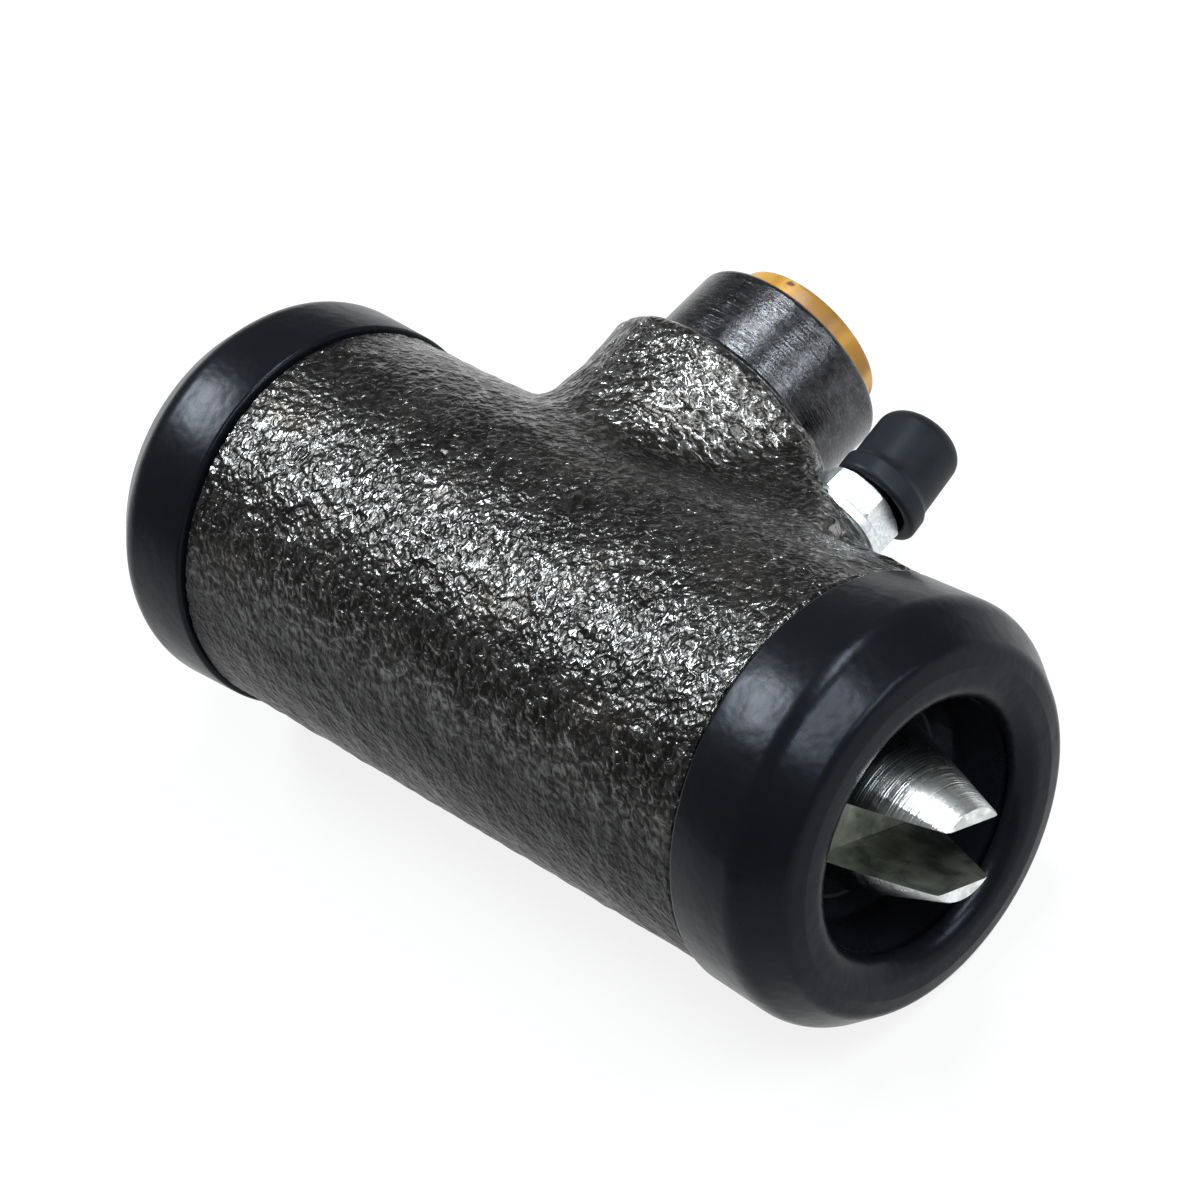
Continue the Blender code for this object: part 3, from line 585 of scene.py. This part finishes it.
def surfaceNet(distance, low, high, cell):   # one point in each cell that the surface crosses
    axes = [np.arange(a - 2 * cell, b + 2.5 * cell, cell) for a, b in zip(low, high)]
    grid = np.stack(np.meshgrid(*axes, indexing="ij"), -1)
    shape = grid.shape[:3]
    field = distance(grid.reshape(-1, 3)).reshape(shape)
    inside = field < 0
    total = np.zeros(tuple(s - 1 for s in shape) + (3,))
    count = np.zeros(tuple(s - 1 for s in shape))
    for axis in range(3):
        others = [a for a in range(3) if a != axis]
        for da in (0, 1):
            for db in (0, 1):
                start = [slice(0, s - 1) for s in shape]
                start[others[0]] = slice(da, shape[others[0]] - 1 + da)
                start[others[1]] = slice(db, shape[others[1]] - 1 + db)
                end = list(start)
                end[axis] = slice(1, shape[axis])
                f0, f1 = field[tuple(start)], field[tuple(end)]
                crossing = (f0 < 0) != (f1 < 0)
                share = np.where(crossing, f0 / np.where(crossing, f0 - f1, 1), 0)
                spot = grid[tuple(start)].copy()
                spot[..., axis] += share * cell
                total += np.where(crossing[..., None], spot, 0)
                count += crossing
    used = count > 0
    index = -np.ones(used.shape, dtype=np.int64)
    index[used] = np.arange(used.sum())
    vertices = total[used] / count[used][:, None]
    faces = []
    for axis in range(3):
        b, c = (axis + 1) % 3, (axis + 2) % 3
        here = [slice(1, s - 1) for s in shape]
        here[axis] = slice(0, shape[axis] - 1)
        there = list(here)
        there[axis] = slice(1, shape[axis])
        s0, s1 = inside[tuple(here)], inside[tuple(there)]
        spots = np.argwhere(s0 != s1)
        flip = s0[tuple(spots.T)]
        offset = np.array([0 if a == axis else 1 for a in range(3)])
        spots = spots + offset
        corner = []
        for db, dc in ((1, 1), (0, 1), (0, 0), (1, 0)):
            at = spots.copy()
            at[:, b] -= db
            at[:, c] -= dc
            corner.append(index[tuple(at.T)])
        quads = np.stack(corner, 1)
        quads[~flip] = quads[~flip][:, ::-1]
        faces.append(quads)
    faces = np.concatenate(faces)
    for _ in range(3):                       # settle each point on the true surface
        value = distance(vertices)
        slope = steepness(distance, vertices, value)
        size = np.clip((slope ** 2).sum(1), 0.05, None)
        move = -(value / size)[:, None] * slope
        length = np.linalg.norm(move, axis=1, keepdims=True)
        vertices += move * np.minimum(1, 0.5 * cell / np.maximum(length, 1e-12))
    return vertices, faces


def roughen(vertices, distance):             # the skin's lumps, cut into the surface where it isn't machined
    x, h = vertices[:, 0] - cylinder["boreX"], vertices[:, 1] - cylinder["boreY"]
    slope = steepness(distance, vertices, distance(vertices))
    slope /= np.maximum(np.linalg.norm(slope, axis=1, keepdims=True), 1e-9)
    radial = np.hypot(h, vertices[:, 2])
    cast = np.clip((cylinder["halfSpan"] - 0.3 * mm - np.abs(x)) / (0.6 * mm), 0, 1)
    cast *= np.clip((radial - cylinder["neckRadius"] - 0.6 * mm) / (0.5 * mm), 0, 1)
    cast *= np.clip((casting["skinTop"] - h) / (0.6 * mm), 0, 1)
    seat = np.hypot(vertices[:, 0] - casting["bleederX"], vertices[:, 2])
    onSeat = (seat < casting["seatRadius"] + 0.4 * mm) & (h > casting["bleederTop"] - 0.3 * mm)
    cast *= np.where(onSeat, 0, 1)
    depth = np.zeros(len(vertices))
    for index in np.nonzero(cast > 0)[0]:
        spot = Vector(vertices[index]) * 1000
        coarse = noise.noise(spot * 0.28)
        middle = noise.noise(spot * 0.75 + Vector((3, 7, 1)))
        lumps = casting["skinDepth"] - casting["coarseDepth"] * coarse
        depth[index] = lumps - casting["middleDepth"] * middle
    return vertices - slope * (np.clip(depth, 0, None) * mm * cast)[:, None]


def makeCasting(material):
    reach = cylinder["halfSpan"] + cylinder["neckLength"]
    low = (cylinder["boreX"] - reach, cylinder["boreY"] - cylinder["tubeRadius"], -cylinder["tubeRadius"])
    high = (cylinder["boreX"] + reach, 0.0, cylinder["tubeRadius"])
    cell = casting["cell"] * 1
    vertices, faces = surfaceNet(castingDistance, low, high, cell)
    vertices = roughen(vertices, castingDistance)
    mesh = newMesh("casting", vertices.tolist(), faces.tolist())
    return dress("casting", mesh, material, "casting", "cylinder_body", 50)


# the machined end: shoulder, spigot and the port inside it
spigot = {
    "radius": 10.7 * mm, "shoulder": 29.0 * mm, "outer": 11.3 * mm, "end": 37.6 * mm, "endEdge": 0.8 * mm,
    "root": 26.2 * mm, "rootRadius": 5.6 * mm,                        # where it stands inside the boss
    "port": 5.0 * mm, "portEnd": 38.3 * mm, "portDepth": 11.0 * mm,   # from the CAD model's end
}


def makeSpigot(material):
    s = spigot
    floor = s["portEnd"] - s["portDepth"]
    profile = [(floor - 0.6 * mm, casting["feedRadius"]), (s["root"], s["rootRadius"]),
               (s["root"], s["outer"] - 0.6 * mm), (s["shoulder"] - 0.3 * mm, s["outer"]),
               (s["shoulder"], s["outer"] - 0.15 * mm), (s["shoulder"], s["radius"] + 0.25 * mm),
               (s["shoulder"] + 0.25 * mm, s["radius"])]
    corner = (s["end"] - s["endEdge"], s["radius"] - s["endEdge"])
    profile += list(reversed(arc(corner, s["endEdge"], 0, 90, 6)))
    profile += [(s["end"], s["port"] + 0.8 * mm), (s["end"] - 0.8 * mm, s["port"]), (floor, s["port"])]
    mesh = turn(profile, 192, closed=True)
    mesh.transform(alongSpigot())
    return dress("machinedSpigot", mesh, material, "casting", None, 40)


# the dust boots: a shell that rolls in at the mouth, and a thin web from there to the piston's groove
boot = {
    "radius": 19.65 * mm, "roll": 5.9 * mm, "wall": 1.6 * mm, "length": 12.0 * mm,
    "mouth": 11.95 * mm, "mouthRound": 2.2 * mm, "web": 1.2 * mm, "fold": 2.5 * mm,
    "face": (0.1 * mm, 15.2 * mm),
    "shoulder": (7.8 * mm, 19.65 * mm), "shoulderRound": 3.2 * mm,
    "ridge": (11.5 * mm, 16.9 * mm), "ridgeRound": 1.6 * mm,
    "grooveIn": 1.0 * mm, "grooveOut": 3.6 * mm, "grooveRadius": 7.8 * mm, "gap": 0.3 * mm,
}


def makeBoot(side, material):
    b, gap = boot, boot["gap"]
    name, cupSet = ("right_boot", "right_cup_set") if side > 0 else ("left_boot", "left_cup_set")
    inner = cylinder["neckRadius"] + gap
    middle, half = cylinder["neckLength"] / 2, casting["grooveWidth"] / 2
    bead = casting["grooveRadius"] + gap
    rollAt = (b["length"] - b["roll"], b["radius"] - b["roll"])
    seatIn, seatOut = b["grooveIn"] + gap, b["grooveOut"] - gap
    seat = b["grooveRadius"] + gap
    fold = b["length"] - b["fold"]
    front = b["length"] - b["face"][0]
    # the shell hands over to the web at the seam
    seam = [(fold, b["mouth"] - 0.3 * mm), (fold, b["mouth"] + b["web"])]
    outside = [(gap, b["radius"] - 0.3 * mm), b["shoulder"], b["ridge"], (front, b["face"][1]),
               (front, b["mouth"]), seam[0]]
    rounds = (0, b["shoulderRound"], b["ridgeRound"], 1.0 * mm, b["mouthRound"])
    shell = [(gap, inner)] + fillet(outside, rounds) + [seam[1]]
    shell += arc(rollAt, b["roll"] - b["wall"], 8, 86, 10)
    shell += [(cylinder["neckLength"] + 0.4 * mm, inner), (middle + half - gap, inner)]
    shell += [(middle + half - gap, bead), (middle - half + gap, bead), (middle - half + gap, inner)]
    web = [seam[0], (seatOut + 1.6 * mm, seat + 2.6 * mm), (seatOut, seat + 1.2 * mm),
           (seatOut, seat), (seatIn, seat), (seatIn, seat + 2.0 * mm),
           (seatOut + 1.0 * mm, seat + 2.6 * mm + b["web"]), seam[1]]
    for part, profile, node in ((name, softCorners(shell, 0.4 * mm, 3, True, seam), name),
                                (name + "_web", softCorners(web, 0.3 * mm, 3, True, seam), None)):
        mesh = turn([(cylinder["halfSpan"] + a, r) for a, r in profile], 192, closed=True)
        mesh.transform(alongBore(side))
        piece = dress(part, mesh, material, "casting" if node else None, node, 60)
        if node is None:                     # the web is baked in place, on no body
            ends = [(cylinder["boreX"] + side * (cylinder["halfSpan"] + a), cylinder["boreY"], 0)
                    for a in (fold, seatOut)]
            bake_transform(piece)


# the slotted pistons: skirt, groove for the boot's bead, and the cone with its milled slot
piston = {
    "tipReach": 16.0 * mm, "tipRadius": 4.3 * mm, "rise": 0.325, "edge": 0.12 * mm,
    "skirtLength": 11.0 * mm, "skirtRadius": 12.4 * mm, "step": 1.2 * mm,
    "slotWidth": 5.8 * mm, "slotDepth": 10.7 * mm, "cutReach": 20 * mm,
    "turnRight": -32.5, "turnLeft": 90.0,
}


def makePiston(name, side, angle, materials):
    p = piston
    tip = cylinder["halfSpan"] + p["tipReach"]
    grooveIn, grooveOut = cylinder["halfSpan"] + boot["grooveIn"], cylinder["halfSpan"] + boot["grooveOut"]
    skirtEnd = grooveIn - p["step"]
    back = skirtEnd - p["skirtLength"]
    cone = lambda fromTip: p["tipRadius"] + p["rise"] * fromTip
    profile = [(back, 0.0), (back, p["skirtRadius"]), (skirtEnd, p["skirtRadius"]),
               (grooveIn, boot["grooveRadius"] + 1.6 * mm), (grooveIn, boot["grooveRadius"]),
               (grooveOut, boot["grooveRadius"]), (grooveOut, cone(tip - grooveOut)),
               (tip, cone(0)), (tip, 0.0)]
    body = turn(softCorners(profile, 0.35 * mm, 2), 160)
    floor, half = tip - p["slotDepth"], p["slotWidth"] / 2
    mesh = cutWith(body, blockMesh((floor, -p["cutReach"], -half), (tip + 4 * mm, p["cutReach"], half)))
    for face in mesh.polygons:               # the slot's walls and floor are milled
        wall = abs(face.normal.z) > 0.99 and abs(abs(face.center.z) - half) < 0.05 * mm
        base = face.normal.x > 0.99 and abs(face.center.x - floor) < 0.05 * mm
        face.material_index = 1 if wall or base else 0
    mesh = bevelEdges(mesh, p["edge"], 40)
    mesh.transform(alongBore(side) @ Matrix.Rotation(math.radians(angle), 4, "X"))
    bodyName = "right_piston_body" if side > 0 else "left_piston_body"
    return dress(name, mesh, materials, bodyName, name, 30)


# the bleed screw: cone, shank, round collar, hexagon and the nipple with its barb
screw = {
    "x": casting["bleederX"], "boss": casting["bleederTop"], "lift": 0.8 * mm,
    "collar": 4.7 * mm, "collarHeight": 1.2 * mm, "shank": 3.7 * mm, "neck": 0.7 * mm, "seatGap": 0.6 * mm,
    "flats": 8.0 * mm, "hexHeight": 2.8 * mm, "hexTurn": 56.0, "edge": 0.12 * mm,
    "nipple": 1.7 * mm, "barb": 2.1 * mm, "nippleLength": 7.0 * mm, "drill": 0.7 * mm,
}


def makeScrew(material):
    s = screw
    collarAt = s["boss"] + s["lift"]
    hexLow = collarAt + s["collarHeight"]
    hexTop = hexLow + s["hexHeight"]
    end = hexTop + s["nippleLength"]
    seat = casting["seatHeight"] - casting["threadRadius"] + casting["drill"] + s["seatGap"]
    profile = [(seat, 0.0), (seat, 0.8 * mm), (casting["seatHeight"] + s["seatGap"], s["shank"]),
               (s["boss"] - 0.8 * mm, s["shank"]), (s["boss"] - 0.2 * mm, s["shank"] - s["neck"]),
               (collarAt, s["shank"] - s["neck"]), (collarAt, s["collar"]), (hexLow, s["collar"]),
               (hexLow, s["collar"] - 0.6 * mm), (hexLow + 0.9 * mm, s["nipple"]),
               (end - 2.6 * mm, s["nipple"]), (end - 2.4 * mm, s["barb"]), (end - 1.4 * mm, s["barb"]),
               (end, s["nipple"] * 0.75), (end, 0.0)]
    mesh = turn(softCorners(profile, 0.35 * mm, 3), 96)
    corner = s["flats"] / math.sqrt(3)
    angles = [math.radians(s["hexTurn"] + 60 * k) for k in range(6)]
    points = [(h, corner * math.sin(a), -corner * math.cos(a))
              for h in (hexLow - 0.2 * mm, hexTop) for a in angles]
    sides = [(k, (k + 1) % 6, 6 + (k + 1) % 6, 6 + k) for k in range(6)]
    hexagon = newMesh("hexagon", points, sides + [tuple(range(5, -1, -1)), tuple(range(6, 12))])
    chamfer = corner - s["flats"] / 2
    rounding = turn([(hexLow - 0.4 * mm, 0.0), (hexLow - 0.4 * mm, corner - chamfer * 0.7),
                     (hexLow + chamfer * 0.6, corner), (hexTop - chamfer * 0.6, corner),
                     (hexTop + 0.1 * mm, corner - chamfer * 1.1), (hexTop + 0.1 * mm, 0.0)], 96)
    hexagon = bevelEdges(cutWith(hexagon, rounding, "INTERSECT"), s["edge"], 35)
    mesh = cutWith(mesh, hexagon, "UNION")
    drill = turn([(hexLow, 0.0), (hexLow, s["drill"]), (end + mm, s["drill"]), (end + mm, 0.0)], 32)
    mesh = cutWith(mesh, drill)
    mesh.transform(alongSpigot(s["x"]))
    return dress("bleed_screw", mesh, material, "bleed_screw_body", "bleed_screw", 26)


# the rubber cap on the nipple
cap = {
    "radius": 4.2 * mm, "bore": 3.3 * mm, "length": 8.6 * mm, "flange": 4.6 * mm, "flangeHeight": 2.2 * mm,
    "round": 1.7 * mm, "tilt": 8.0, "shift": 1.2 * mm, "mouth": 27.0 * mm,
    "sag": 0.4 * mm, "sagBelow": 4.2 * mm, "sagOver": 1.6 * mm,
}


def makeCap(material):
    c = cap
    crown = c["length"] - c["round"]
    profile = [(c["length"], 0.0), *arc((crown, c["radius"] - c["round"]), c["round"], 0, 90, 12),
               (c["flangeHeight"] + 0.5 * mm, c["radius"] + 0.05 * mm),
               (c["flangeHeight"], c["radius"] + 0.3 * mm),
               (c["flangeHeight"] - 0.2 * mm, c["flange"]), (0.0, c["flange"]), (0.0, c["bore"]),
               (crown, c["bore"]), (crown + 0.4 * mm, 0.0)]
    mesh = turn(softCorners(profile, 0.55 * mm, 4), 96)
    slant = math.tan(math.radians(c["tilt"]))
    for vertex in mesh.vertices:             # the rim settles level with the hexagon under it
        share = min(1, max(0, (c["sagBelow"] - vertex.co.x) / c["sagOver"]))
        vertex.co.x -= (c["sag"] - slant * vertex.co.y) * share
    lean = Matrix.Rotation(math.radians(90 + c["tilt"]), 4, "Z")
    mesh.transform(Matrix.Translation((screw["x"] + c["shift"], cylinder["boreY"] + c["mouth"], 0)) @ lean)
    return dress("bleeder_cap", mesh, material, "bleeder_cap_body", "bleeder_cap", 50)


# the plastic plug in the spigot's end, hollow from outside
portPlug = {
    "seat": 38.0 * mm, "flange": 8.15 * mm, "height": 2.4 * mm, "edge": 0.5 * mm,
    "stem": 4.7 * mm, "stemLength": 7.0 * mm, "wall": 1.2 * mm,
}


def makePlug(material):
    p = portPlug
    low = p["seat"]
    high = low + p["height"]
    bottom = low - p["stemLength"]
    hollow = p["stem"] - p["wall"]
    profile = [(bottom, 0.0), (bottom, p["stem"] - 0.6 * mm), (bottom + 1.2 * mm, p["stem"]),
               (low, p["stem"]), (low, p["flange"]), (high, p["flange"]), (high, hollow + 0.3 * mm),
               (high - 0.4 * mm, hollow), (bottom + p["wall"], hollow - 0.2 * mm), (bottom + p["wall"], 0.0)]
    mesh = turn(softCorners(profile, p["edge"], 4), 128)
    mesh.transform(alongSpigot())
    return dress("port_plug", mesh, material, "port_plug_body", "port_plug", 50)


# the return spring, grown by nodes along a coil, one half on each side of the middle
spring = {"radius": 6.8 * mm, "wire": 0.65 * mm, "reach": 15.2 * mm, "halfTurns": 4.75}


def makeSpring(material):
    s = spring
    tree = bpy.data.node_groups.new("returnSpringCoil", "GeometryNodeTree")
    for label, value in (("Turns", s["halfTurns"]), ("Coil radius", s["radius"]), ("Wire radius", s["wire"]),
                         ("Length", s["reach"])):
        socket = tree.interface.new_socket(label, in_out="INPUT", socket_type="NodeSocketFloat")
        socket.default_value = value
    tree.interface.new_socket("Geometry", in_out="OUTPUT", socket_type="NodeSocketGeometry")
    make, link = tree.nodes.new, tree.links.new
    sizes, result = make("NodeGroupInput"), make("NodeGroupOutput")
    coil = make("GeometryNodeCurveSpiral")
    coil.inputs["Resolution"].default_value = 32
    for label in ("Start Radius", "End Radius"):
        link(sizes.outputs["Coil radius"], coil.inputs[label])
    link(sizes.outputs["Turns"], coil.inputs["Rotations"])
    link(sizes.outputs["Length"], coil.inputs["Height"])
    ring = make("GeometryNodeCurvePrimitiveCircle")
    ring.inputs["Resolution"].default_value = 12
    link(sizes.outputs["Wire radius"], ring.inputs["Radius"])
    sweep = make("GeometryNodeCurveToMesh")
    sweep.inputs["Fill Caps"].default_value = True
    link(coil.outputs[0], sweep.inputs[0])
    link(ring.outputs[0], sweep.inputs[1])
    real, paint = make("GeometryNodeRealizeInstances"), make("GeometryNodeSetMaterial")
    paint.inputs["Material"].default_value = material
    link(sweep.outputs[0], real.inputs[0])
    link(real.outputs[0], paint.inputs[0])
    link(paint.outputs[0], result.inputs[0])
    holder = placed("coil", newMesh("coil", [], []))
    holder.modifiers.new("grow", "NODES").node_group = tree
    mesh = settled(holder)
    bpy.data.objects.remove(holder)
    for side, cupSet in ((1, "right_cup_set"), (-1, "left_cup_set")):
        half = mesh.copy()
        half.transform(alongBore(side) @ Matrix.Rotation(math.pi / 2, 4, "Y"))
        name = "return_spring" if side > 0 else "return_spring_left"
        piece = dress(name, half, material, None, "return_spring" if side > 0 else None, 60)
        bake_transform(piece)


# stage, light and camera
studio = {
    "floor": -19.9 * mm, "floorReach": 3.0, "paper": 0.82, "glow": 0.86, "world": 0.18, "distance": 0.55,
    # each softbox: name, direction, size, roll, power, colour
    "boxes": [("leftBox", (-0.65, -0.10, 0.75), (0.20, 0.055), 0, 2.7, (0.91, 0.96, 1.0)),
              ("topBox", (-0.01, 0.38, 0.92), (0.23, 0.07), -45, 2.2, (0.93, 0.97, 1.0)),
              ("rightBox", (0.78, 0.37, 0.48), (0.20, 0.10), 0, 0.85, (0.94, 0.97, 1.0)),
              ("edgeBox", (0.58, 0.03, 0.81), (0.34, 0.045), 0, 2.2, (0.91, 0.96, 1.0))],
}


def makeStage():
    size, low = studio["floorReach"], studio["floor"]
    corners = [(-size, -size, low), (size, -size, low), (size, size, low), (-size, size, low)]
    mesh = newMesh("floor", corners, [(0, 1, 2, 3)])
    floor = placed("floor", mesh)
    finish = Finish("palePaper", Base_Color=(studio["paper"],) * 3, Roughness=0.9)
    tree = finish.tree
    path = tree.nodes.new("ShaderNodeLightPath")
    rays = [Wire(tree, path.outputs["Is " + kind + " Ray"]) for kind in ("Camera", "Glossy", "Transmission")]
    shown = rays[0].maths("MAXIMUM", rays[1]).maths("MAXIMUM", rays[2])
    glow = tree.nodes.new("ShaderNodeEmission")
    mix = tree.nodes.new("ShaderNodeMixShader")
    # seen or mirrored, the paper is nearly plain white, with a faint shadow
    plug(tree, mix.inputs[0], shown * studio["glow"])
    tree.links.new(finish.shader.outputs[0], mix.inputs[1])
    tree.links.new(glow.outputs[0], mix.inputs[2])
    tree.links.new(mix.outputs[0], tree.nodes["Material Output"].inputs["Surface"])
    mesh.materials.append(finish.material)
    world = bpy.data.worlds.new("studio")
    bpy.context.scene.world = world
    world.use_nodes = True
    tree = world.node_tree
    back = tree.nodes["Background"]
    path = tree.nodes.new("ShaderNodeLightPath")
    seen = Wire(tree, path.outputs["Is Camera Ray"])
    plug(tree, back.inputs["Strength"], studio["world"] + seen * (1 - studio["world"]))
    back.inputs["Color"].default_value = (1, 1, 1, 1)


def makeLamp(name, place, aim, size, roll, power, colour):
    data = bpy.data.lights.new(name, "AREA")
    data.shape, data.size, data.size_y = "RECTANGLE", size[0], size[1]
    data.energy, data.color = power, colour
    lamp = placed(name, data)
    lamp.location = place
    lamp.rotation_mode = "QUATERNION"
    turned = (aim - place).to_track_quat("-Z", "Y")
    lamp.rotation_quaternion = turned @ Quaternion((0, 0, 1), math.radians(roll))


photoView = {                                # the camera that was fitted to the photo
    "place": (0.22240, -0.14203, 0.23781), "lens": 112.76, "sensor": 36.0,
    "right": (0.68634, 0.66377, -0.29723), "up": (-0.35755, 0.66385, 0.65685),
    "back": (0.63332, -0.34455, 0.69296),
}


def makeCamera():
    data = bpy.data.cameras.new("photoCamera")
    data.lens, data.sensor_width = photoView["lens"], photoView["sensor"]
    data.clip_start, data.clip_end = 0.01, 10
    camera = placed("photoCamera", data)
    turned = Matrix([photoView[k] for k in ("right", "up", "back")]).transposed().to_4x4()
    camera.matrix_world = Matrix.Translation(photoView["place"]) @ turned
    bpy.context.scene.camera = camera


def makeLight():                             # softboxes where the photo's own highlights say they are
    aim = Vector((cylinder["boreX"], cylinder["boreY"] + 8 * mm, 0))
    for name, direction, size, roll, power, colour in studio["boxes"]:
        place = aim + Vector(direction).normalized() * studio["distance"]
        makeLamp(name, place, aim, size, roll, power, colour)


bpy.context.scene.view_settings.view_transform = "Standard"
makeStage()
makeCamera()
makeLight()
print("stage, light and camera are set")

makeCasting(castIron())
makeSpigot(machinedSteel())
rubber = bootRubber()
for side in (1, -1):
    makeBoot(side, rubber)
milled = milledZinc()
makePiston("right_piston", 1, piston["turnRight"], [zincPlate(), milled])
makePiston("left_piston", -1, piston["turnLeft"], [zincPlate(), milled])
makeScrew(screwZinc())
makeCap(capRubber())
makePlug(amberPlastic())
steel = plainFinish("springSteel", (0.50, 0.50, 0.50), 1.0, 0.28)
makeSpring(steel)
cupRubber = plainFinish("cupRubber", (0.020, 0.020, 0.021), 0.0, 0.42)
for side in ("right", "left"):               # the cups and expanders keep the CAD model's shapes
    for kind, finish in (("cup", cupRubber), ("expander", steel)):
        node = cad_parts[side + "_" + kind]
        node.data.materials.clear()
        node.data.materials.append(finish)
print("every piece is made")
